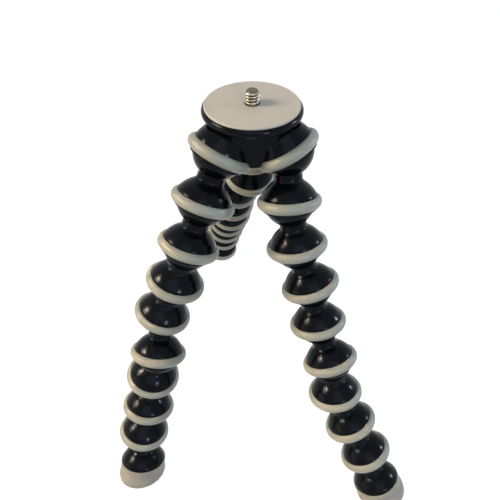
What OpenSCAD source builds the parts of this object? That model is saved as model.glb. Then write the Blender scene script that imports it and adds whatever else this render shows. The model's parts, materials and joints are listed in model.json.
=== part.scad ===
// Flexible leg tripod: a hub with a camera screw, and three legs of snapped ball and socket links.
// Origin: centre of the rubber platform pad, on its top face. +Z runs up the camera screw.
// The bare front panel of the hub faces -Y. One leg goes to each front side, one to the rear.

/* [Camera screw] */
// Thread diameter of the camera screw, 1/4 inch
screw_d = 6.35; // [6:0.05:6.5]
// Height of the screw above the platform pad
screw_h = 5.6; // [4:0.1:8]
// Chamfer at the screw's tip
screw_chamfer = 0.8; // [0.4:0.1:1.2]
// Diameter of the screw's plain neck, between its head and its thread
screw_neck_d = 5.2; // [5:0.1:5.8]
// Height above the pad at which the thread starts
screw_lift = 0.4; // [0.2:0.1:0.8]
// Width across the corners of the screw's hexagonal head
screw_head_d = 12; // [10:0.5:14]
// Thickness of the screw's head
screw_head_h = 3; // [2.5:0.25:3.2]
// Gap round the screw and its head in the platform
screw_gap = 0.1; // [0.05:0.05:0.2]

/* [Platform] */
// Diameter of the platform's rounded rim
rim_d = 43.6; // [42:0.2:48]
// Height of the rounded rim
rim_h = 4.4; // [4:0.2:5.5]
// Diameter of the rubber pad
pad_d = 41; // [36:0.5:41.5]
// Thickness of the rubber pad
pad_t = 2; // [1.2:0.1:2.4]
// Gap round the pad in its recess
pad_gap = 0.1; // [0.05:0.05:0.2]
// How far the pad stands proud of the rim
pad_rise = 0.6; // [0.2:0.1:1]
// Thickness of the platform plate under the pad
plate_t = 3.6; // [3:0.1:4.5]

/* [Hub] */
// Distance of each shoulder joint from the hub's axis
shoulder_reach = 17; // [16.6:0.1:19]
// Depth of the shoulder joints below the pad's top face
shoulder_drop = 18; // [17.5:0.25:21]
// Lean of each shoulder socket outward from straight down
shoulder_angle = 35; // [30:1:38]
// Half angle of the cone that narrows from each shoulder socket up into the hub
shoulder_taper = 24; // [18:1:28]
// Length of that cone above the joint
shoulder_length = 15; // [14:0.5:17]
// Diameter of the hub's waist under the rim
waist_d = 37; // [34:0.5:39]
// Distance of the three bare panels between the shoulders from the hub's axis
panel_reach = 16; // [15:0.25:17]
// Depth of the panels' lower edge below the pad's top face
panel_depth = 20.5; // [19:0.25:22]
// Depth of the hub's lowest point below the pad's top face
hub_depth = 26.5; // [25:0.25:28]
// Diameter of the hub's lower tip
hub_tip_d = 8.4; // [7:0.2:10]

/* [Links] */
// Distance from one ball joint to the next
link_pitch = 23.5; // [23:0.25:26]
// Diameter of the ball on each link
ball_d = 23.8; // [23.4:0.1:24]
// Running gap between a ball and its socket, on the radius
ball_gap = 0.05; // [0.02:0.01:0.1]
// Wall of the socket
socket_wall = 1.1; // [0.9:0.05:1.3]
// Wall of the hollow ball
ball_wall = 1.6; // [1.2:0.1:2.2]
// How far the socket's mouth wraps past the ball's equator
mouth_wrap = 3.75; // [3.4:0.05:4]
// How far the open back of the ball lies from its equator
ball_back = 5; // [3:0.25:7]
// Radius of the concave fillet that forms the neck
neck_fillet = 2; // [1.6:0.1:2.6]
// Diameter of the hole down the neck
neck_bore_d = 7; // [5:0.5:8]

/* [Grip rings] */
// How far a ring stands out from its land
ring_proud = 2.2; // [1.2:0.1:3]
// Diameter of the round section that a ring is part of
ring_section_d = 5.4; // [4.8:0.1:5.8]
// Gap round a ring where it passes the hub's core
ring_gap = 0.2; // [0.1:0.05:0.3]
// Depth of the flat land that seats the ring, below the socket's sphere
land_depth = 0.25; // [0.2:0.05:0.3]

/* [Feet] */
// Diameter of the rubber foot at its lip
foot_lip_d = 27.4; // [27:0.1:28]
// Height of the foot's lip above and below the ball joint's plane
foot_lip_h = 2; // [1.5:0.1:2.5]
// Depth of the groove under the foot's lip
foot_groove = 0.5; // [0.3:0.1:0.7]
// Diameter of the foot where it flares out to the sole
foot_flare_d = 29; // [28:0.25:30]
// Height over which the foot flares, from its groove down
foot_flare_h = 4; // [3:0.25:5]
// Depth of the sole below the ball joint's plane, on the foot's axis
sole_depth = 7.25; // [7:0.25:9]
// Slant of the sole, deeper at the toe
sole_slant = 10; // [0:1:12]
// Depth of the foot's stud below its joint plane
stud_depth = 2; // [1:0.25:2.5]

/* [Hidden] */
// Names of the legs and the directions of their shoulders around the hub
LEGS = ["left", "right", "rear"];
leg_dir = [210, 330, 90];
// Links between the shoulder and the foot
LINKS = 8;
// Pose as photographed, shoulder to foot: lean outward from straight down, and swing to the side
lean_angles = [
    [30, 29, 24, 25, 27, 16, 23, 21, 23],
    [14, 18, 26, 22, 32, 20, 36, 37, 33],
    [22, 23, 34, 27, 31, 35, 32, 29, 19]];
side_angles = [
    [6, 6, -3, -4, 21, -5, 11, 6, 21],
    [-18, -10, -8, -13, -18, -13, -11, -12, -14],
    [-5, 3, 20, 7, 4, 6, 6, 7, 6]];
// Turn of each toe about its foot's axis, from the side that faces up
toe_angles = [30, -25, 5];
// Overrun of a cut past the face that it opens
over = 1;
fine = 96;
ball_r = ball_d / 2;
cup_r = ball_r + ball_gap;
shell_r = cup_r + socket_wall;
land_r = shell_r - land_depth;
ring_r = land_r + ring_proud;
ring_d = 2 * ring_r;
section_r = ring_section_d / 2;
ring_mid_r = ring_r - section_r;
// Half height of a ring where it lies on its land
ring_half = sqrt(section_r * section_r - (land_r - ring_mid_r) * (land_r - ring_mid_r));
// Centre of the neck's concave fillet, which touches both the ball and the socket's sphere
fillet_z = (link_pitch * link_pitch + (ball_r + neck_fillet) * (ball_r + neck_fillet)
    - (shell_r + neck_fillet) * (shell_r + neck_fillet)) / (2 * link_pitch);
fillet_r = sqrt((ball_r + neck_fillet) * (ball_r + neck_fillet) - fillet_z * fillet_z);
fillet_ball_angle = atan2(fillet_r, fillet_z);
fillet_shell_angle = atan2(fillet_r, link_pitch - fillet_z);

// Direction of a link: out along the leg's own direction, sideways, and down
function link_dir(leg, i) = let (
    lean = i == 0 ? shoulder_angle : lean_angles[leg][i - 1],
    side = i == 0 ? 0 : side_angles[leg][i - 1],
    out = [cos(leg_dir[leg]), sin(leg_dir[leg]), 0],
    across = [-sin(leg_dir[leg]), cos(leg_dir[leg]), 0])
    sin(lean) * cos(side) * out + sin(side) * across - cos(lean) * cos(side) * [0, 0, 1];

// Centre of ball joint i of a leg: 0 is the shoulder, and each link adds one pitch
function joint(leg, i) = i == 0
    ? [shoulder_reach * cos(leg_dir[leg]), shoulder_reach * sin(leg_dir[leg]), -shoulder_drop]
    : joint(leg, i - 1) + link_pitch * link_dir(leg, i);

// Sets its children at a point with their +Z along a direction
module along(point, dir) {
    translate(point)
        rotate([0, acos(dir[2]), atan2(dir[1], dir[0])])
            children();
}

// Keeps the right half of an outline, which is what a turn about the axis needs
module right_half() {
    reach = link_pitch + 2 * ring_r;
    difference() {
        children();
        translate([-reach, -reach])
            square([reach, 2 * reach]);
    }
}

// Neck between the ball and the socket's dome: a concave fillet that is tangent to both
module neck_outline() {
    difference() {
        polygon([
            [0, ball_r * cos(fillet_ball_angle)],
            ball_r * [sin(fillet_ball_angle), cos(fillet_ball_angle)],
            [fillet_r, fillet_z],
            [0, link_pitch] + shell_r * [sin(fillet_shell_angle), -cos(fillet_shell_angle)],
            [0, link_pitch - shell_r * cos(fillet_shell_angle)]]);
        translate([fillet_r, fillet_z])
            circle(r = neck_fillet, $fn = fine);
    }
}

// Outline of the ball, the neck and the socket's dome, down to the given depth past the joint
module link_outline(depth) {
    union() {
        difference() {
            circle(r = ball_r, $fn = fine);
            translate([-ring_r, -ball_back - ring_d])
                square([ring_d, ring_d]);
        }
        neck_outline();
        translate([0, link_pitch])
            difference() {
                circle(r = shell_r, $fn = fine);
                translate([-ring_r, depth])
                    square([ring_d, ring_d]);
            }
    }
}

// Land for a ring round the equator of a socket, as a flat outline to cut away
module land_cut(centre_z) {
    translate([land_r, centre_z - ring_half])
        square([over, 2 * ring_half]);
}

// Hollow link: ball at its own origin, socket one pitch along +Z
module link_form() {
    rotate_extrude($fn = fine)
        right_half()
            difference() {
                link_outline(mouth_wrap);
                circle(r = ball_r - ball_wall, $fn = fine);
                translate([0, link_pitch])
                    circle(r = cup_r, $fn = fine);
                land_cut(link_pitch);
                translate([-neck_bore_d / 2, 0])
                    square([neck_bore_d, link_pitch]);
            }
}

// Foot link: the same ball and neck, with a closed stud that the rubber foot is moulded round
module foot_link_form() {
    rotate_extrude($fn = fine)
        right_half()
            difference() {
                link_outline(stud_depth);
                circle(r = ball_r - ball_wall, $fn = fine);
            }
}

// Rubber ring with a half-round outside and a flat inside, about its own centre
module ring_form() {
    rotate_extrude($fn = fine)
        difference() {
            translate([ring_mid_r, 0])
                circle(r = section_r);
            translate([0, -ring_r])
                square([land_r, 2 * ring_r]);
        }
}

// Rubber foot round the stud: lip, groove, flare and a slanted sole with its toe turned
module foot_pad_form(turn) {
    lip_r = foot_lip_d / 2;
    flare_r = foot_flare_d / 2;
    groove_z = foot_lip_h + foot_groove;
    difference() {
        rotate_extrude($fn = fine)
            difference() {
                polygon([
                    [0, -foot_lip_h], [lip_r, -foot_lip_h], [lip_r, foot_lip_h],
                    [lip_r - foot_groove, groove_z], [flare_r, groove_z + foot_flare_h],
                    [flare_r, sole_depth + flare_r], [0, sole_depth + flare_r]]);
                intersection() {
                    circle(r = shell_r, $fn = fine);
                    translate([0, -shell_r])
                        square([shell_r, shell_r + stud_depth]);
                }
            }
        translate([0, 0, sole_depth])
            rotate([0, -sole_slant, 180 + turn])
                translate([-foot_flare_d, -foot_flare_d])
                    cube(2 * foot_flare_d);
    }
}

// Hub shoulder round a socket, about the joint, with +Z down the leg: a sphere and a cone tangent to it
module shoulder_solid() {
    cone_r = (shell_r - shoulder_length * sin(shoulder_taper)) / cos(shoulder_taper);
    rotate_extrude($fn = fine)
        right_half()
            difference() {
                union() {
                    circle(r = shell_r, $fn = fine);
                    polygon([
                        [0, 0],
                        shell_r * [cos(shoulder_taper), -sin(shoulder_taper)],
                        [cone_r, -shoulder_length],
                        [0, -shoulder_length]]);
                }
                translate([-ring_r, mouth_wrap])
                    square([ring_d, ring_d]);
                land_cut(0);
            }
}

// Core between the shoulders: a turned block from the waist down to the tip, cut by three flat panels
module hub_core() {
    waist_r = waist_d / 2;
    waist_z = -pad_t - plate_t;
    difference() {
        intersection() {
            rotate_extrude($fn = fine)
                polygon([
                    [0, waist_z], [waist_r, waist_z], [waist_r, -panel_depth],
                    [hub_tip_d / 2, -hub_depth], [0, -hub_depth]]);
            translate([0, 0, -hub_depth])
                linear_extrude(hub_depth)
                    polygon([for (dir = leg_dir) 2 * panel_reach * [cos(dir), sin(dir)]]);
        }
        for (leg = [0:2])
            along(joint(leg, 0), link_dir(leg, 0))
                rotate_extrude($fn = fine)
                    translate([ring_mid_r, 0])
                        circle(r = section_r + ring_gap);
    }
}

module hub_body() {
    color("#15181b")
        difference() {
            union() {
                hub_core();
                for (leg = [0:2])
                    along(joint(leg, 0), link_dir(leg, 0))
                        shoulder_solid();
            }
            for (leg = [0:2])
                translate(joint(leg, 0))
                    sphere(r = cup_r, $fn = fine);
            translate([0, 0, -pad_t - plate_t])
                cylinder(d = rim_d, h = shell_r, $fn = fine);
        }
}

module platform() {
    rim_r = rim_d / 2;
    top = pad_t - pad_rise;
    color("#111417")
        difference() {
            translate([0, 0, -pad_rise])
                rotate_extrude($fn = fine)
                    union() {
                        translate([0, -top - plate_t])
                            square([rim_r - rim_h / 2, plate_t + top]);
                        translate([rim_r - rim_h / 2, -rim_h / 2])
                            circle(d = rim_h, $fn = fine);
                    }
            translate([0, 0, -pad_t])
                cylinder(d = pad_d + 2 * pad_gap, h = pad_t + over, $fn = fine);
            translate([0, 0, -pad_t - plate_t - over])
                cylinder(d = screw_d + 2 * screw_gap, h = plate_t + 2 * over, $fn = fine);
            translate([0, 0, -pad_t - plate_t - over])
                cylinder(d = screw_head_d + 2 * screw_gap, h = screw_head_h + screw_gap + over, $fn = 6);
        }
}

module platform_pad() {
    color("#bcb3a5")
        difference() {
            translate([0, 0, -pad_t])
                cylinder(d = pad_d, h = pad_t, $fn = fine);
            translate([0, 0, -pad_t - over])
                cylinder(d = screw_d + 2 * screw_gap, h = pad_t + 2 * over, $fn = fine);
        }
}

module camera_screw() {
    color("#b9b6ac")
        union() {
            translate([0, 0, -pad_t - plate_t])
                cylinder(d = screw_neck_d, h = pad_t + plate_t + screw_h - screw_chamfer, $fn = fine);
            translate([0, 0, screw_lift])
                cylinder(d = screw_d, h = screw_h - screw_lift - screw_chamfer, $fn = fine);
            translate([0, 0, screw_h - screw_chamfer])
                cylinder(d1 = screw_d, d2 = screw_d - 2 * screw_chamfer, h = screw_chamfer, $fn = fine);
            translate([0, 0, -pad_t - plate_t])
                cylinder(d = screw_head_d, h = screw_head_h, $fn = 6);
        }
}

module shoulder_rings() {
    color("#96968a")
        for (leg = [0:2])
            along(joint(leg, 0), link_dir(leg, 0))
                ring_form();
}

module link(leg, i) {
    color("#14171a")
        along(joint(leg, i - 1), link_dir(leg, i))
            link_form();
}

module ring(leg, i) {
    color("#96968a")
        along(joint(leg, i), link_dir(leg, i))
            ring_form();
}

module foot_link(leg) {
    color("#14171a")
        along(joint(leg, LINKS), link_dir(leg, LINKS + 1))
            foot_link_form();
}

module foot_pad(leg) {
    color("#8b8578")
        along(joint(leg, LINKS + 1), link_dir(leg, LINKS + 1))
            foot_pad_form(toe_angles[leg]);
}

hub_body();
platform();
platform_pad();
camera_screw();
shoulder_rings();
for (leg = [0:2], i = [1:LINKS]) {
    link(leg, i);
    ring(leg, i);
}
for (leg = [0:2]) {
    foot_link(leg);
    foot_pad(leg);
}
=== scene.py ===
# %% [markdown]
# # A flexible leg tripod
# The model comes in as a fixed frame of solids in metres, with its origin at the base of the camera
# screw. Nothing in it is moved. This lesson lights it, photographs it and gives every surface the
# finish of the real one: glossy moulded plastic, soft grey rubber and plated steel.

# %% Load the frame
import json
import math

import bmesh
import bpy
from mathutils import Matrix, Vector


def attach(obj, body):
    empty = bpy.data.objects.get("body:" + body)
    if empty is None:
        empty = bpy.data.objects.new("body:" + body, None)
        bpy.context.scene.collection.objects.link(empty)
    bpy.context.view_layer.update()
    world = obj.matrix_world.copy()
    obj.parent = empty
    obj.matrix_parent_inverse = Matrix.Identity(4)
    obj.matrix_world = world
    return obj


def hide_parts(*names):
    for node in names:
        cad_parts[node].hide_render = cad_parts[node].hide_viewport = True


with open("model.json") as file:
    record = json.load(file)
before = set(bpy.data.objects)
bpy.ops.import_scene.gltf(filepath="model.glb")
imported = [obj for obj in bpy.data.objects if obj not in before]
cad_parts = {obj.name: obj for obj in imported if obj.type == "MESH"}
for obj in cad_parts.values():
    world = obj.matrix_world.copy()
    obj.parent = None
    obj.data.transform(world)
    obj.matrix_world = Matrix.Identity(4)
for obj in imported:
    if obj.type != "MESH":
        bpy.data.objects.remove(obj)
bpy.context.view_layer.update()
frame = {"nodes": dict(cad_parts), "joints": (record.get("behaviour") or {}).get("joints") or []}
MM = 0.001
UP = Vector((0, 0, 1))

# %% [markdown]
# ## Camera
# The photograph looks down on the tripod from close by, so the platform is large and the feet are
# small. The focal length and the camera's place were found by fitting the rims of the rubber rings.
# A small shift puts the middle of the lens where the photograph has it.

# %% Camera
IMAGE_PX, SENSOR_MM = 500, 36
FOCAL_PX = 418.9
LENS_CENTRE_PX = (253.9, 249.9)
LENS_PLACE_MM = (-10.86, -165.07, 84.77)
YAW, TILT = math.radians(4), math.radians(46.5)
NEAR_M, FAR_M = 0.01, 20
camera_data = bpy.data.cameras.new("studio_camera")
camera = bpy.data.objects.new("studio_camera", camera_data)
bpy.context.scene.collection.objects.link(camera)
bpy.context.scene.camera = camera
camera_data.sensor_width = SENSOR_MM
camera_data.lens = FOCAL_PX * SENSOR_MM / IMAGE_PX
camera_data.shift_x = (IMAGE_PX / 2 - LENS_CENTRE_PX[0]) / IMAGE_PX
camera_data.shift_y = (LENS_CENTRE_PX[1] - IMAGE_PX / 2) / IMAGE_PX
camera_data.clip_start, camera_data.clip_end = NEAR_M, FAR_M
gaze = Vector((math.sin(YAW) * math.cos(TILT), math.cos(YAW) * math.cos(TILT), -math.sin(TILT)))
camera.location = Vector(LENS_PLACE_MM) * MM
camera.rotation_mode = "QUATERNION"
camera.rotation_quaternion = gaze.to_track_quat("-Z", "Y")
print("lens", round(camera_data.lens, 2), "mm, camera at", [round(x, 3) for x in camera.location])

# %% [markdown]
# ## Colour and nodes
# Colours are written as sRGB hex, the way a colour picker shows them, and Blender's shaders work in
# linear light, so one function converts them. A second one adds a node with its settings and links,
# and a third starts an empty material.

# %% Helpers for colour and nodes
def linear(hex_colour):
    """A hex colour as linear red, green, blue and alpha."""
    channels = [int(hex_colour[i:i + 2], 16) / 255 for i in (1, 3, 5)]
    return [c / 12.92 if c <= 0.04045 else ((c + 0.055) / 1.055) ** 2.4 for c in channels] + [1]


def add(tree, kind, settings=None, **links):
    """Adds a node: settings are socket values or the node's own properties, links are sources."""
    node = tree.nodes.new(kind)
    for name, value in (settings or {}).items():
        if name in node.inputs:
            node.inputs[name].default_value = value
        else:
            setattr(node, name, value)
    for name, source in links.items():
        tree.links.new(source, node.inputs[name.replace("_", " ")])
    return node


def new_material(name):
    """A material with an empty node tree."""
    material = bpy.data.materials.new(name)
    material.use_nodes = True
    material.node_tree.nodes.clear()
    return material, material.node_tree


print("#808080 is", round(linear("#808080")[0], 3), "in linear light")

# %% [markdown]
# ## Studio
# The photograph is cut out on pure white, so the floor and the room are white to the camera and in
# reflections. A brighter floor would do that too, but it would light the tripod from below. Light
# Path keeps the two apart: rays that look get white, rays that carry light get a plain dim room.

# %% One look for the eye, another for the light
def shown_as(tree, lighting, shown):
    """Mixes two shaders: shown for the camera, mirrors and glass, lighting for everything else."""
    rays = add(tree, "ShaderNodeLightPath")
    looking = rays.outputs["Is Camera Ray"]
    for kind in ("Is Glossy Ray", "Is Transmission Ray"):
        either = add(tree, "ShaderNodeMath", {"operation": "MAXIMUM"})
        tree.links.new(looking, either.inputs[0])
        tree.links.new(rays.outputs[kind], either.inputs[1])
        looking = either.outputs[0]
    mix = add(tree, "ShaderNodeMixShader", Fac=looking)
    tree.links.new(lighting.outputs[0], mix.inputs[1])
    tree.links.new(shown.outputs[0], mix.inputs[2])
    return mix.outputs[0]


# %% World
WHITE = (1, 1, 1, 1)
ROOM_LIGHT = (0.64, 0.78, 1.0, 1)
world = bpy.data.worlds.new("studio_world")
bpy.context.scene.world = world
world.use_nodes = True
world.node_tree.nodes.clear()
room = add(world.node_tree, "ShaderNodeBackground", {"Color": ROOM_LIGHT, "Strength": 0.32})
white = add(world.node_tree, "ShaderNodeBackground", {"Color": WHITE, "Strength": 1.0})
add(world.node_tree, "ShaderNodeOutputWorld", Surface=shown_as(world.node_tree, room, white))
print("world nodes", len(world.node_tree.nodes))

# %% [markdown]
# ## Floor
# The feet of a flexible tripod seldom end level, so the floor is laid through the lowest corner of
# each foot, a hair below so that it doesn't cut into them. Its paper adds a share of light of its own
# to what falls on it, which leaves the open floor white and keeps a pale shadow under the tripod.

# %% White floor under the three feet
LEGS = ("left", "right", "rear")
FLOOR_SIZE_M, FLOOR_GAP_MM = 8, 0.1


def lowest(name):
    """The lowest corner of a node of the frame."""
    corners = (v.co for v in frame["nodes"][name].data.vertices)
    return min(corners, key=lambda co: co.z).copy()


touch = [lowest(f"{leg}_foot_pad") for leg in LEGS]
floor_up = (touch[1] - touch[0]).cross(touch[2] - touch[0]).normalized()
bpy.ops.mesh.primitive_plane_add(size=FLOOR_SIZE_M)
floor = bpy.context.object
floor.name = "studio_floor"
floor.rotation_mode = "QUATERNION"
floor.rotation_quaternion = UP.rotation_difference(floor_up)
floor.location = touch[0] - floor_up * FLOOR_GAP_MM * MM
print("floor leans", round(math.degrees(floor_up.angle(UP)), 2), "degrees to touch every foot")

# %% Paper for the floor
paper, tree = new_material("white_paper_floor")
plain = add(tree, "ShaderNodeBsdfDiffuse", {"Color": linear("#b9b9b7")})
shadow_share = add(tree, "ShaderNodeBsdfDiffuse", {"Color": linear("#8a8a8a")})
bright_share = add(tree, "ShaderNodeEmission", {"Color": WHITE, "Strength": 0.88})
both = add(tree, "ShaderNodeAddShader")
tree.links.new(shadow_share.outputs[0], both.inputs[0])
tree.links.new(bright_share.outputs[0], both.inputs[1])
add(tree, "ShaderNodeOutputMaterial", Surface=shown_as(tree, plain, both))
floor.data.materials.append(paper)
print("floor material", paper.name)

# %% [markdown]
# ## Lamps
# Black plastic shows its lamps more than its colour. Each highlight on a ball tells where its lamp is:
# halfway between the eye and the lamp lies the ball's normal. So there is a lamp for each highlight or
# glow of the photograph, of about its size, warmth and brightness. The warm spot would also wash over
# the platform and the rear leg, so it has a grid that keeps it on the left leg.

# %% Lamps, placed by the highlights they make
OPEN_GRID = 180


def softbox(name, azimuth, elevation, size, radiance, colour, grid=OPEN_GRID, aim=(0, 0, -0.1)):
    """A rectangular lamp one metre from its aim, by azimuth from +X towards +Y and elevation.

    The grid is the whole angle that the light is kept in, in degrees. The lamp's energy comes down
    with that angle, so that it looks as bright from its aim with any grid."""
    data = bpy.data.lights.new(name, "AREA")
    data.shape = "RECTANGLE"
    data.size, data.size_y = size
    data.energy = radiance * math.pi * size[0] * size[1]
    if grid < OPEN_GRID:
        data.spread = math.radians(grid)
        data.energy *= math.radians(grid / 2) ** 2 / 3
    data.color = linear(colour)[:3]
    lamp = bpy.data.objects.new(name, data)
    bpy.context.scene.collection.objects.link(lamp)
    azimuth, elevation = math.radians(azimuth), math.radians(elevation)
    way = Vector((math.cos(elevation) * math.cos(azimuth), math.cos(elevation) * math.sin(azimuth),
                  math.sin(elevation)))
    lamp.location = Vector(aim) + way
    lamp.rotation_mode = "QUATERNION"
    lamp.rotation_quaternion = (-way).to_track_quat("-Z", "Y")


LEFT_LEG_M = (-0.075, -0.05, -0.11)
softbox("warm_window", 178, 34, (0.34, 0.34), 24.5, "#fff0d6")
softbox("front_fill", -90, 48, (0.7, 0.7), 1.2, "#eef2ff")
softbox("warm_spot", 174, 42, (0.06, 0.06), 850, "#ffcf9c", grid=18, aim=LEFT_LEG_M)
softbox("low_warm_wall", 196, 2, (0.5, 0.4), 2.4, "#ffc890")
softbox("cool_lamp", 8, 20, (0.09, 0.09), 130, "#d9e8ff")
softbox("front_lamp", -64, 20, (0.12, 0.12), 62, "#e8f0ff")
softbox("shelf_lamp", 58, 46, (0.08, 0.08), 25, "#e8f0ff")

# %% [markdown]
# ## Black plastic
# The links, hub and platform are injection moulded in black ABS. A polished mould leaves a gloss that
# shows small sharp lights, a faint orange-peel waviness, 4 or 5 mm from crest to crest, and fine
# handling marks. One flat black would look computed, so noise at those sizes bends and dulls the gloss.
# The studio is white in reflections and the real room was dark and bluish, so the specular level is
# low and its tint is cool, and the small lamps are strong enough to show all the same.

# %% Polished moulded ABS
HANDLING_MM, HANDLING_DULLS = 6, 0.1


def moulded_abs(name, colour, roughness, wave_mm, wave_depth_mm):
    """Black plastic from a polished mould, wavy and lightly handled."""
    material, tree = new_material(name)
    spot = add(tree, "ShaderNodeTexCoord").outputs["Object"]
    wave = add(tree, "ShaderNodeTexNoise", {"Scale": 1000 / wave_mm, "Detail": 1.0, "Roughness": 0.5},
               Vector=spot)
    marks = add(tree, "ShaderNodeTexNoise",
                {"Scale": 1000 / HANDLING_MM, "Detail": 6.0, "Roughness": 0.7}, Vector=spot)
    worn = add(tree, "ShaderNodeMapRange",
               {"From Min": 0.35, "From Max": 0.7, "To Min": roughness,
                "To Max": roughness + HANDLING_DULLS}, Value=marks.outputs["Fac"])
    tint = add(tree, "ShaderNodeMapRange",
               {"From Min": 0.3, "From Max": 0.7, "To Min": 0.85, "To Max": 1.2},
               Value=marks.outputs["Fac"])
    body = add(tree, "ShaderNodeHueSaturation", {"Color": linear(colour)},
               Value=tint.outputs["Result"])
    bump = add(tree, "ShaderNodeBump", {"Strength": 0.35, "Distance": wave_depth_mm * MM},
               Height=wave.outputs["Fac"])
    shader = add(tree, "ShaderNodeBsdfPrincipled",
                 {"IOR": 1.54, "Metallic": 0.0, "Specular IOR Level": 0.085,
                  "Specular Tint": linear("#dfeaff")},
                 Base_Color=body.outputs["Color"], Roughness=worn.outputs["Result"],
                 Normal=bump.outputs["Normal"])
    add(tree, "ShaderNodeOutputMaterial", Surface=shader.outputs["BSDF"])
    return material


link_abs = moulded_abs("black_abs_polished_mould", "#05070a", 0.15, 4.0, 0.012)
platform_abs = moulded_abs("black_abs_platform_gloss", "#05070a", 0.14, 5.0, 0.012)
print("plastics", link_abs.name, platform_abs.name)

# %% [markdown]
# ## Grey rubber
# The grip rings and feet are overmoulded thermoplastic rubber with a fine blasted skin, and the pad is
# a paler rubber. Such a skin scatters light softly and picks up a little dust. Its grain could be
# displaced, but it is finer than a mesh should carry, so a fine noise makes it by bump, and a broad one
# says where the dust has settled.

# %% Blasted moulded rubber
SKIN_DEPTH_MM, DUST_MM = 0.06, 9
MIX_FROM, MIX_TO, MIXED = 6, 7, 2  # a Mix node's sockets for two colours and the colour between them


def moulded_rubber(name, colour, dusty, grain_mm, roughness):
    """Soft rubber with a blasted skin and a little dust."""
    material, tree = new_material(name)
    spot = add(tree, "ShaderNodeTexCoord").outputs["Object"]
    grain = add(tree, "ShaderNodeTexNoise",
                {"Scale": 1000 / grain_mm, "Detail": 4.0, "Roughness": 0.6}, Vector=spot)
    cloud = add(tree, "ShaderNodeTexNoise",
                {"Scale": 1000 / DUST_MM, "Detail": 4.0, "Roughness": 0.6}, Vector=spot)
    share = add(tree, "ShaderNodeMapRange",
                {"From Min": 0.4, "From Max": 0.75, "To Min": 0.0, "To Max": 0.6},
                Value=cloud.outputs["Fac"])
    body = add(tree, "ShaderNodeMix", {"data_type": "RGBA"}, Factor=share.outputs["Result"])
    body.inputs[MIX_FROM].default_value = linear(colour)
    body.inputs[MIX_TO].default_value = linear(dusty)
    bump = add(tree, "ShaderNodeBump", {"Strength": 0.3, "Distance": SKIN_DEPTH_MM * MM},
               Height=grain.outputs["Fac"])
    shader = add(tree, "ShaderNodeBsdfPrincipled",
                 {"IOR": 1.5, "Roughness": roughness, "Metallic": 0.0},
                 Base_Color=body.outputs[MIXED], Normal=bump.outputs["Normal"])
    add(tree, "ShaderNodeOutputMaterial", Surface=shader.outputs["BSDF"])
    return material


ring_rubber = moulded_rubber("grey_rubber_blasted", "#8f9183", "#999484", 0.35, 0.42)
foot_rubber = moulded_rubber("grey_rubber_feet", "#8d8a7f", "#98917f", 0.35, 0.5)
pad_rubber = moulded_rubber("light_rubber_pad", "#bab3a3", "#b4aa98", 0.3, 0.6)
print("rubbers", ring_rubber.name, foot_rubber.name, pad_rubber.name)

# %% [markdown]
# ## Plated steel
# The screw is turned steel with a bright nickel plating. It keeps the default IOR, as metals do, and
# the turning leaves very fine marks. The crests of the thread keep the plating's bright colour, and its
# roots are painted darker as shade. The colour follows the distance from the axis, which finds crests
# and roots without a texture.

# %% Nickel plated steel
TURNING_MM = 0.8
# inside the first radius the thread's roots get painted shade, outside the second the crests get the
# plating's own colour
ROOT_SHADE_R_MM, BRIGHT_R_MM = 2.55, 3.0
plated_steel, tree = new_material("nickel_plated_steel")
spot = add(tree, "ShaderNodeTexCoord").outputs["Object"]
turning = add(tree, "ShaderNodeTexNoise", {"Scale": 1000 / TURNING_MM, "Detail": 3.0}, Vector=spot)
rough = add(tree, "ShaderNodeMapRange",
            {"From Min": 0.3, "From Max": 0.7, "To Min": 0.2, "To Max": 0.32},
            Value=turning.outputs["Fac"])
flat = add(tree, "ShaderNodeVectorMath", {"operation": "MULTIPLY"})
flat.inputs[1].default_value = (1, 1, 0)
tree.links.new(spot, flat.inputs[0])
from_axis = add(tree, "ShaderNodeVectorMath", {"operation": "LENGTH"})
tree.links.new(flat.outputs["Vector"], from_axis.inputs[0])
crest = add(tree, "ShaderNodeMapRange", {"From Min": ROOT_SHADE_R_MM * MM, "From Max": BRIGHT_R_MM * MM},
            Value=from_axis.outputs["Value"])
tone = add(tree, "ShaderNodeMix", {"data_type": "RGBA"}, Factor=crest.outputs["Result"])
# painted shade: the darker colour in the thread's roots stands for the shade in its grooves
tone.inputs[MIX_FROM].default_value = linear("#5d564a")
tone.inputs[MIX_TO].default_value = linear("#c4beb0")
shader = add(tree, "ShaderNodeBsdfPrincipled", {"Metallic": 1.0}, Base_Color=tone.outputs[MIXED],
             Roughness=rough.outputs["Result"])
add(tree, "ShaderNodeOutputMaterial", Surface=shader.outputs["BSDF"])
print("metal", plated_steel.name)

# %% [markdown]
# ## Turned pieces
# The pad, the links, the rings and the feet are all turned forms. Each is drawn once as a profile of
# radius and height in millimetres, and spun round its axis. Blender's Screw modifier could spin it
# too, but in code the profile can be worked out from sizes, with the small rounded edges that catch
# the light on real mouldings and that a plain revolved solid doesn't have.

# %% Profiles with rounded corners and arcs
STRAIGHT = -0.97  # cosine between a corner's two sides when it hardly bends
SIDE_SHARE = 2.2  # a rounding takes up less than half of a side


def rounded(points, radius_mm, steps=4):
    """Rounds every inner corner of an open profile by about the given radius."""
    smooth = [Vector(points[0])]
    for before, corner, after in zip(points, points[1:], points[2:]):
        before, corner, after = Vector(before), Vector(corner), Vector(after)
        back, onward = before - corner, after - corner
        if back.normalized().dot(onward.normalized()) < STRAIGHT:
            smooth.append(corner)
            continue
        reach = min(radius_mm, back.length / SIDE_SHARE, onward.length / SIDE_SHARE)
        start = corner + back.normalized() * reach
        end = corner + onward.normalized() * reach
        for k in range(steps + 1):
            t = k / steps
            smooth.append((1 - t) ** 2 * start + 2 * t * (1 - t) * corner + t ** 2 * end)
    return smooth + [Vector(points[-1])]


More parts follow.
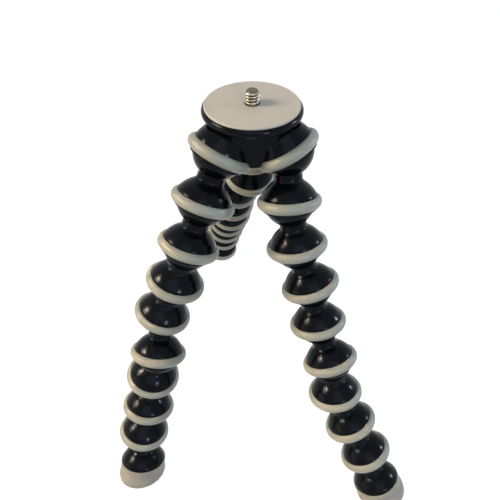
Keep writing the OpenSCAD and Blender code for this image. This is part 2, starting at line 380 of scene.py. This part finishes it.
def arc_points(centre, radius, start, stop, steps):
    """Points on a circle in the profile's plane; angles are from +Z towards +R, in degrees."""
    angles = [math.radians(start + (stop - start) * k / steps) for k in range(steps + 1)]
    return [(centre[0] + radius * math.sin(a), centre[1] + radius * math.cos(a)) for a in angles]


print("a rounded corner has", len(rounded([(0, 0), (0, 1), (1, 1)], 0.3)) - 2, "points")

# %% Spin a profile
TURNS = 96
WELD_M = 1e-7
CRISP = math.radians(42)


def finished_mesh(name, shape):
    """Smooth faces with crisp edges where the form really turns."""
    for face in shape.faces:
        face.smooth = True
    mesh = bpy.data.meshes.new(name)
    shape.to_mesh(mesh)
    shape.free()
    mesh.set_sharp_from_angle(angle=CRISP)
    return mesh


def spin(name, profile, turns=TURNS, closed=False):
    """A mesh from a profile of (radius, height) in millimetres, spun round Z."""
    shape = bmesh.new()
    columns = []
    for k in range(turns):
        a = 2 * math.pi * k / turns
        columns.append([shape.verts.new((r * math.cos(a) * MM, r * math.sin(a) * MM, z * MM))
                        for r, z in profile])
    rows = len(profile)
    for k in range(turns):
        here, there = columns[k], columns[(k + 1) % turns]
        for i in range(rows if closed else rows - 1):
            j = (i + 1) % rows
            shape.faces.new((here[i], there[i], there[j], here[j]))
    bmesh.ops.remove_doubles(shape, verts=shape.verts, dist=WELD_M)
    bmesh.ops.recalc_face_normals(shape, faces=shape.faces)
    return finished_mesh(name, shape)


print("spun in", TURNS, "steps, crisp from", round(math.degrees(CRISP)), "degrees")

# %% [markdown]
# ## Putting a piece in place
# A piece stands where its node of the frame is: its mesh has its axis along +Z, and one function moves
# it to its point, turns it, hangs it on the body that carries it and hides the node it stands for. One
# mesh can serve many pieces, so the scene stays small.

# %% Place a piece
def facing(direction, turn=0):
    """Turns +Z to a direction, after a turn about itself in degrees."""
    way = Vector(direction).normalized()
    return (Matrix.Rotation(math.atan2(way.y, way.x), 4, "Z") @ Matrix.Rotation(math.acos(way.z), 4, "Y")
            @ Matrix.Rotation(math.radians(turn), 4, "Z"))


def place(name, mesh, point, direction, body, replaced, material):
    """Puts a mesh at a point with its +Z along a direction, riding on a body."""
    piece = bpy.data.objects.new(name, mesh)
    bpy.context.scene.collection.objects.link(piece)
    if not mesh.materials:
        mesh.materials.append(material)
    piece.matrix_world = Matrix.Translation(point) @ facing(direction)
    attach(piece, body)
    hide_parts(*replaced)


ORIGIN = Vector((0, 0, 0))

# %% [markdown]
# ## Camera screw
# A quarter inch screw has 20 threads to the inch, so its crests are 1.27 mm apart, and a right-hand
# thread climbs as it turns anticlockwise seen from above. A tooth could be swept along a helix, but
# its ends would have to be closed by hand. Here the radius is worked out at every point of a fine
# grid from how far that point is along the helix, which gives true crests, roots and a tapered tip.

# %% Helical thread
SCREW_R, SCREW_TOP, SCREW_LOW = 3.175, 5.6, -1.2
THREAD_PITCH, THREAD_DEPTH, CREST_SHARE, SLOPE_SHARE = 1.27, 0.72, 0.16, 0.3
NECK_RELIEF_R, THREAD_START, TIP_R, TIP_TAPER = 2.8, 0.6, 2.15, 1.05


def thread_radius(angle, height):
    """Radius of the screw at an angle in radians and a height in millimetres."""
    if height < THREAD_START:
        return NECK_RELIEF_R
    share = (height / THREAD_PITCH - angle / (2 * math.pi)) % 1
    if share < CREST_SHARE:
        depth = 0
    elif share < CREST_SHARE + SLOPE_SHARE:
        depth = (share - CREST_SHARE) / SLOPE_SHARE
    elif share < 1 - SLOPE_SHARE:
        depth = 1
    else:
        depth = (1 - share) / SLOPE_SHARE
    return min(SCREW_R - THREAD_DEPTH * depth, TIP_R + (SCREW_TOP - height) * TIP_TAPER)


print("thread turns above the pad", round(SCREW_TOP / THREAD_PITCH, 1))

# %% Screw with its shank and hexagonal head
HEIGHT_STEPS = 84
HEAD = (6, 6, 3, -4.1)  # sides, radius, length and height of its middle
SHANK = (32, 3.1, 1.4, -1.9)
shape = bmesh.new()
levels = [SCREW_LOW + k * (SCREW_TOP - SCREW_LOW) / HEIGHT_STEPS for k in range(HEIGHT_STEPS + 1)]
columns = []
for k in range(TURNS):
    a = 2 * math.pi * k / TURNS
    radii = [thread_radius(a, z) for z in levels]
    columns.append([shape.verts.new((r * math.cos(a) * MM, r * math.sin(a) * MM, z * MM))
                    for r, z in zip(radii, levels)])
for k in range(TURNS):
    here, there = columns[k], columns[(k + 1) % TURNS]
    for i in range(HEIGHT_STEPS):
        shape.faces.new((here[i], there[i], there[i + 1], here[i + 1]))
shape.faces.new([column[-1] for column in columns])
for face in shape.faces:
    face.smooth = len(face.verts) == 4
for sides, radius, length, middle in (HEAD, SHANK):
    bmesh.ops.create_cone(shape, cap_ends=True, segments=sides, radius1=radius * MM,
                          radius2=radius * MM, depth=length * MM,
                          matrix=Matrix.Translation((0, 0, middle * MM)))
screw_mesh = bpy.data.meshes.new("threaded_screw")
shape.to_mesh(screw_mesh)
shape.free()
place("threaded_screw", screw_mesh, ORIGIN, UP, "hub", ["camera_screw"], plated_steel)
print("screw mesh faces", len(screw_mesh.polygons))

# %% [markdown]
# ## Platform pad
# The pad is a die-moulded rubber disc. Its edge has a thin raised bead that presses on the camera, and
# a shallow ring further in shows where the mould's insert met it. Both are too fine for the solid
# disc of the frame, so a spun profile with them takes its place.

# %% Pad with its bead
PAD_R, PAD_HOLE_R, PAD_FACE, PAD_UNDER = 20.5, 3.3, -0.1, -1.95
PAD_EDGE, PAD_TURNS = 0.2, 128
INSERT_LINE = [(17.2, PAD_FACE), (17.35, -0.16), (17.6, -0.16), (17.75, PAD_FACE)]
BEAD = [(19.2, PAD_FACE), (19.55, 0), (20.15, 0), (PAD_R, -0.35)]
pad_profile = rounded([(PAD_HOLE_R, -1.9), (PAD_HOLE_R, PAD_FACE), *INSERT_LINE, *BEAD,
                       (PAD_R, PAD_UNDER), (PAD_HOLE_R, PAD_UNDER)], PAD_EDGE)
pad_mesh = spin("ribbed_pad", pad_profile, PAD_TURNS)
place("ribbed_pad", pad_mesh, ORIGIN, UP, "hub", ["platform_pad"], pad_rubber)
print("pad mesh faces", len(pad_mesh.polygons))

# %% [markdown]
# ## Legs
# Every link is the same moulding: a hollow ball, a short neck and a socket that snaps over the next
# ball. A link runs from its own joint to the next joint of its leg, and the joints in the packed
# record say where each one goes. The foot link has no joint after it, so its angles are written here.

# %% Where the links are
LINKS = 8
PITCH_MM = 23.5
LEG_AZIMUTH = {"left": 210, "right": 330, "rear": 90}
FOOT_ANGLES = {"left": (23, 21), "right": (33, -14), "rear": (19, 6)}
SHOULDER_ANGLES = (35, 0)
joint_at = {j["name"]: Vector(j["pos_m"]) for j in frame["joints"]}


def leg_direction(leg, lean, side):
    """Out along the leg's own azimuth by the lean, sideways by the side angle, and down."""
    azimuth, lean, side = (math.radians(x) for x in (LEG_AZIMUTH[leg], lean, side))
    out = Vector((math.cos(azimuth), math.sin(azimuth), 0))
    across = Vector((-math.sin(azimuth), math.cos(azimuth), 0))
    down = Vector((0, 0, -1))
    return (out * math.sin(lean) * math.cos(side) + across * math.sin(side)
            + down * math.cos(lean) * math.cos(side))


def segment(leg, number):
    """Start and direction of a link: 0 is the hub's shoulder, 9 is the foot link."""
    if number == 0:
        return joint_at[f"{leg}_joint_1"], leg_direction(leg, *SHOULDER_ANGLES)
    start = joint_at[f"{leg}_joint_{number}"]
    if number > LINKS:
        return start, leg_direction(leg, *FOOT_ANGLES[leg])
    return start, (joint_at[f"{leg}_joint_{number + 1}"] - start).normalized()


for leg in LEGS:
    print(leg, "foot joint at", [round(1000 * x, 1) for x in joint_at[f"{leg}_joint_9"]])

# %% [markdown]
# ## Outside of a link
# The profile starts at the ball's open back, goes over the ball and round the tight fillet of the neck,
# and down a bell-shaped dome to the seat of the ring. A sphere would be the simple dome, but the real
# one is slimmer at its shoulder. The ball is slimmer behind its middle, and its socket is tighter there
# too. The steps between the two sizes keep clear of each other through the joint's whole swing.

# %% Ball, neck and dome
BALL_R, BACK_R, BACK = 11.9, 11.6, 5.0
BACK_ENDS, BALL_STARTS, NECK_SIDE = 89, 86, 38
NECK_R, FILLET_LOW, FILLET_MM = 6.45, 13.3, 1.6
BELL_TOP, BELL_LOW, BELL_RISE = (7.5, 14.35), (12.72, 20.2), 0.45
LAND_R, DOME_STOPS = 12.8, 2.65


def bulge(start, end, rise, steps):
    """A line between two points, gently swollen away from the axis."""
    start, end = Vector(start), Vector(end)
    run = (end - start).normalized()
    middle = (start + end) / 2 + Vector((-run.y, run.x)) * -2 * rise
    spread = [k / steps for k in range(steps + 1)]
    return [tuple((1 - t) ** 2 * start + 2 * t * (1 - t) * middle + t ** 2 * end) for t in spread]


def dome_to_seat():
    """Ball, neck and bell-shaped dome down to the seat of the ring, which every kind of link has."""
    open_at = math.degrees(math.acos(-BACK / BACK_R))
    ball = (arc_points((0, 0), BACK_R, open_at, BACK_ENDS, 8)
            + arc_points((0, 0), BALL_R, BALL_STARTS, NECK_SIDE, 18))
    side_r, side_z = ball[-1]
    run = (side_r - NECK_R) * math.tan(math.radians(NECK_SIDE))
    bell = bulge(BELL_TOP, BELL_LOW, BELL_RISE, 14)
    neck = rounded([ball[-1], (NECK_R, side_z + run), (NECK_R, FILLET_LOW), bell[0]], FILLET_MM, 6)
    return ball + [tuple(v) for v in neck[1:]] + bell[1:] + [(LAND_R, PITCH_MM - DOME_STOPS)]


print("ball", 2 * BALL_R, "mm across, neck", 2 * NECK_R, "mm")

# %% [markdown]
# ## Inside of a link
# The shell goes on past the ring's seat, round the lip of the mouth and back inside: a cup that wraps
# the next ball past its middle, a bore through the neck, and the hollow of its own ball. The lips have
# rounded edges of about 0.3 mm, which make the thin bright lines under each ring. The foot link has no
# socket: its dome ends in a stud that the rubber foot is moulded on.

# %% Mouth, cup and hollow ball
SHELL_R, CUP_R, CUP_BACK_R, WALL = 13.05, 11.95, 11.64, 1.6
MOUTH, BORE, SEAT_HALF = 3.75, 3.5, 2.6
CUP_STARTS, CUP_STEP, CUP_BACK_STARTS = 75, 119.5, 122.5
BACK_LIP, BACK_LIP_LEAN, BACK_LIP_EDGE = 0.4, 0.1, 0.35
MOUTH_LIP, MOUTH_LIP_LEAN, MOUTH_LIP_EDGE = 0.5, 0.12, 0.3
STUD_GAP, STUD_STARTS, STUD_STOPS, STUD_FLAT = 0.02, 102, 81, 2
NEAR_AXIS = 0.01  # a closed profile stops just short of the axis, in millimetres or degrees


def hollow_ball(bore):
    """Inside of the ball, from the bore to the open back, with a rounded lip."""
    inner = BALL_R - WALL
    start = math.degrees(math.asin(bore / inner)) if bore else NEAR_AXIS
    stop = math.degrees(math.acos((-BACK + BACK_LIP) / inner))
    inside, outside = (math.sqrt(r ** 2 - BACK ** 2) for r in (inner, BACK_R))
    lip = rounded([(inside, -BACK + BACK_LIP), (inside, -BACK), (outside, -BACK),
                   (outside + BACK_LIP_LEAN, -BACK + BACK_LIP)], BACK_LIP_EDGE)
    return arc_points((0, 0), inner, start, stop, 22) + lip[1:-1]


def mouth_and_cup():
    """Seat of the ring, rounded lip of the mouth, and the cup as far as the bore."""
    outer, inner = (math.sqrt(r ** 2 - MOUTH ** 2) for r in (SHELL_R, CUP_R))
    low = PITCH_MM + MOUTH
    lip = rounded([(outer + MOUTH_LIP_LEAN, low - MOUTH_LIP), (outer, low), (inner, low),
                   (inner + MOUTH_LIP_LEAN, low - MOUTH_LIP)], MOUTH_LIP_EDGE)
    cup_stop = 180 - math.degrees(math.asin(BORE / CUP_BACK_R))
    return ([(LAND_R, PITCH_MM - SEAT_HALF), (LAND_R, PITCH_MM + SEAT_HALF)] + [tuple(v) for v in lip]
            + arc_points((0, PITCH_MM), CUP_R, CUP_STARTS, CUP_STEP, 14)
            + arc_points((0, PITCH_MM), CUP_BACK_R, CUP_BACK_STARTS, cup_stop, 14))


link_profile = dome_to_seat() + mouth_and_cup() + hollow_ball(BORE)
stud = (arc_points((0, PITCH_MM), SHELL_R - STUD_GAP, STUD_STARTS, STUD_STOPS, 5)
        + [(NEAR_AXIS, PITCH_MM + STUD_FLAT)])
foot_link_profile = dome_to_seat() + stud + hollow_ball(0)
print("profile points", len(link_profile), "and", len(foot_link_profile))

# %% Spin the links and set them in their legs
LINK_TURNS = 72
link_mesh = spin("moulded_link", link_profile, LINK_TURNS, closed=True)
foot_link_mesh = spin("moulded_foot_link", foot_link_profile, LINK_TURNS, closed=True)
for leg in LEGS:
    for number in range(1, LINKS + 1):
        start, way = segment(leg, number)
        place(f"{leg}_moulded_link_{number}", link_mesh, start, way, f"{leg}_segment_{number}",
              [f"{leg}_link_{number}"], link_abs)
    start, way = segment(leg, LINKS + 1)
    place(f"{leg}_moulded_foot_link", foot_link_mesh, start, way, f"{leg}_foot",
          [f"{leg}_foot_link"], link_abs)
print("link mesh faces", len(link_mesh.polygons), "foot link faces", len(foot_link_mesh.polygons))

# %% [markdown]
# ## Grip rings
# Each ring is half of a round section, 5.4 mm across, moulded on the flat seat round the socket. A
# torus would be the quick form, but it has no edges. The real ring's two edges roll in a little before
# they meet the plastic, and a hair-fine flash line from the mould runs round its widest part.

# %% Rings
RING_MID, RING_SECTION, RING_EDGE = 12.3, 2.7, 2.35
ROLL_R, ROLL_EDGE = LAND_R + 0.12, 2.52
FLASH_R, FLASH_HALF = 15.0, 0.06
ring_profile = ([(LAND_R, RING_EDGE), (ROLL_R, ROLL_EDGE)]
                + arc_points((RING_MID, 0), RING_SECTION, 16, 87, 12)
                + [(FLASH_R, FLASH_HALF), (FLASH_R, -FLASH_HALF)]
                + arc_points((RING_MID, 0), RING_SECTION, 93, 164, 12)
                + [(ROLL_R, -ROLL_EDGE), (LAND_R, -RING_EDGE)])
ring_mesh = spin("grip_ring", ring_profile, closed=True)
for leg in LEGS:
    for number in range(1, LINKS + 1):
        start, way = segment(leg, number)
        place(f"{leg}_grip_ring_{number}", ring_mesh, start + way * PITCH_MM * MM, way,
              f"{leg}_segment_{number}", [f"{leg}_ring_{number}"], ring_rubber)
    start, way = segment(leg, 0)
    place(f"{leg}_shoulder_grip_ring", ring_mesh, start, way, "hub", ["shoulder_rings"],
          ring_rubber)
print("ring mesh faces", len(ring_mesh.polygons))

# %% [markdown]
# ## Feet
# A foot is a rubber cup moulded round the stud of the last ball: a rounded lip, a groove under it where
# the mould parts, a flare, and a flat sole cut at a slant. A Boolean could cut the sole, but it leaves
# ragged faces. So the profile is spun too long and one plane cuts it, which leaves a clean edge to
# round, and the sole is sunk a little inside its border.

# %% Profile of a foot
CUP_FLOOR, FOOT_LONG = 2.02, 13
UPPER_EDGE, UPPER_EDGE_R = (13.3, -1.6), 0.4
LOWER_EDGE, LOWER_EDGE_R = (13.2, 1.2), 0.52
LIP_SIDE = [(13.7, -1.2), (13.72, 0.4)]
GROOVE = [(13.24, 2.1), (13.2, 2.5), (13.3, 3.1)]
FLARE = [(13.62, 4.2), (14.1, 5.4), (14.38, 6.2), (14.48, 6.9), (14.5, 7.6), (14.5, FOOT_LONG)]
floor_r = math.sqrt(SHELL_R ** 2 - STUD_FLAT ** 2) - 0.05
foot_profile = ([(0, CUP_FLOOR), (floor_r, CUP_FLOOR)]
                + arc_points((0, 0), SHELL_R + STUD_GAP, 81.5, 98, 4)
                + arc_points(UPPER_EDGE, UPPER_EDGE_R, 200, 95, 5) + LIP_SIDE
                + arc_points(LOWER_EDGE, LOWER_EDGE_R, 80, 20, 4) + GROOVE + FLARE + [(0, FOOT_LONG)])
print("foot profile points", len(foot_profile))

# %% Foot with its slanted sole
TOE_TURN = {"left": 30, "right": -25, "rear": 5}
SOLE_DEPTH, SOLE_SLANT = 7.25, 10
SOLE_EDGE_MM, SOLE_BORDER_MM, SOLE_SINK_MM = 0.5, 1.6, 0.3
shape = bmesh.new()
shape.from_mesh(spin("foot_blank", foot_profile))
slant = Matrix.Rotation(math.pi, 4, "Z") @ Matrix.Rotation(math.radians(-SOLE_SLANT), 4, "Y")
cut = bmesh.ops.bisect_plane(shape, geom=shape.verts[:] + shape.edges[:] + shape.faces[:],
                             plane_co=(0, 0, SOLE_DEPTH * MM), plane_no=slant @ UP, clear_outer=True)
rim = [e for e in cut["geom_cut"] if isinstance(e, bmesh.types.BMEdge)]
bmesh.ops.contextual_create(shape, geom=rim)
bmesh.ops.recalc_face_normals(shape, faces=shape.faces)
bmesh.ops.bevel(shape, geom=rim, offset=SOLE_EDGE_MM * MM, segments=4, profile=0.5, affect="EDGES")
shape.faces.ensure_lookup_table()
sole = max(shape.faces, key=lambda f: f.calc_area())
bmesh.ops.inset_region(shape, faces=[sole], thickness=SOLE_BORDER_MM * MM, depth=0)
bmesh.ops.inset_region(shape, faces=[sole], thickness=SOLE_SINK_MM * MM, depth=-SOLE_SINK_MM * MM)
foot_mesh = finished_mesh("moulded_foot", shape)
for leg in LEGS:
    start, way = segment(leg, LINKS + 1)
    turned_foot = foot_mesh.copy()
    turned_foot.transform(facing(way, TOE_TURN[leg]))
    place(f"{leg}_moulded_foot", turned_foot, start + way * PITCH_MM * MM, UP, f"{leg}_foot",
          [f"{leg}_foot_pad"], foot_rubber)
print("foot mesh faces", len(foot_mesh.polygons))

# %% [markdown]
# ## The frame's own solids
# The hub and the platform have the right shape as they are, so they stay and only get a material. The
# hidden nodes get theirs too, so that no node is left with a plain grey.

# %% Give the frame's nodes their materials
for name, node in frame["nodes"].items():
    material = link_abs
    if "_ring" in name:
        material = ring_rubber
    elif "foot_pad" in name:
        material = foot_rubber
    elif name == "platform_pad":
        material = pad_rubber
    elif name == "platform":
        material = platform_abs
    elif name == "camera_screw":
        material = plated_steel
    for slot in node.material_slots:
        slot.material = material
print("materials", len(bpy.data.materials))

# %% [markdown]
# ## Finish
# The Standard view shows a colour as it is written.

# %% Finish
bpy.context.scene.view_settings.view_transform = "Standard"
